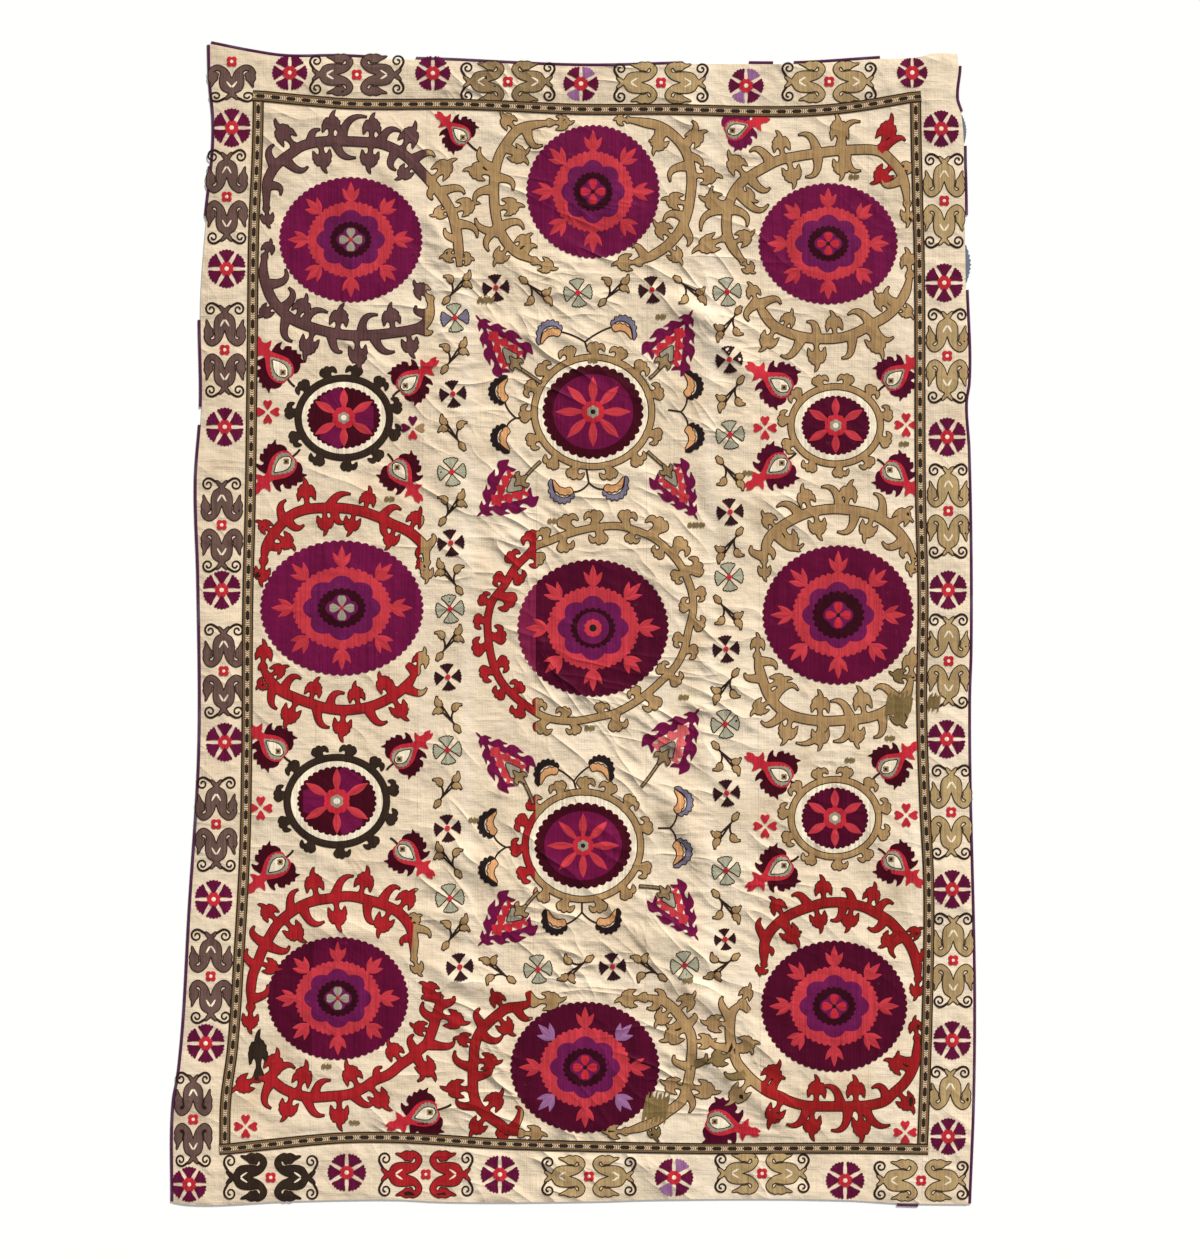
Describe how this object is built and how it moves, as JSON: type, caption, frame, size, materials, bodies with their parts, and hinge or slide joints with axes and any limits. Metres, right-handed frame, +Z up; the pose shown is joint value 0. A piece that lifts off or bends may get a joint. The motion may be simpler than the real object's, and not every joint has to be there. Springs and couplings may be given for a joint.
{
  "type": "suzani embroidered textile",
  "caption": "Large flat hand-woven cotton cloth of joined loom widths with a separate border, narrow patterned tape over the joins and a purple braid edging, lying face up with soft folds.",
  "frame": {"origin": "middle of the laid-out cloth's outline, on the surface that it lies on", "axes": "+Z up out of the embroidered face, +Y to the cloth's top edge along its length, +X to its right edge"},
  "size_m": [1.8134, 2.622, 0.0115],
  "materials": {
    "ground_cotton": "hand-woven off-white cotton, matt",
    "patterned_tape": "narrow woven silk tape, soft",
    "purple_braid": "silk braid, soft",
    "blue_backing": "faded cotton backing, matt",
    "silk_thread": "laid and couched silk embroidery, low sheen"
  },
  "bodies": {
    "root": {"field_strip_1": "ground_cotton", "field_strip_2": "ground_cotton", "field_strip_3": "ground_cotton", "field_strip_4": "ground_cotton", "field_strip_5": "ground_cotton", "field_strip_6": "ground_cotton", "field_strip_7": "ground_cotton", "border_left": "ground_cotton", "border_right": "ground_cotton", "border_top": "ground_cotton", "border_bottom": "ground_cotton", "tape_top": "patterned_tape", "tape_bottom": "patterned_tape", "tape_left": "patterned_tape", "tape_right": "patterned_tape", "braid_left_1": "purple_braid", "braid_left_2": "purple_braid", "braid_left_3": "purple_braid", "braid_top_1": "purple_braid", "braid_top_2": "purple_braid", "braid_top_3": "purple_braid", "braid_top_4": "purple_braid", "braid_right_1": "purple_braid", "braid_right_2": "purple_braid", "braid_right_3": "purple_braid", "braid_bottom_1": "purple_braid", "backing_scrap_1": "blue_backing", "backing_scrap_2": "blue_backing"}
  },
  "joints": []
}
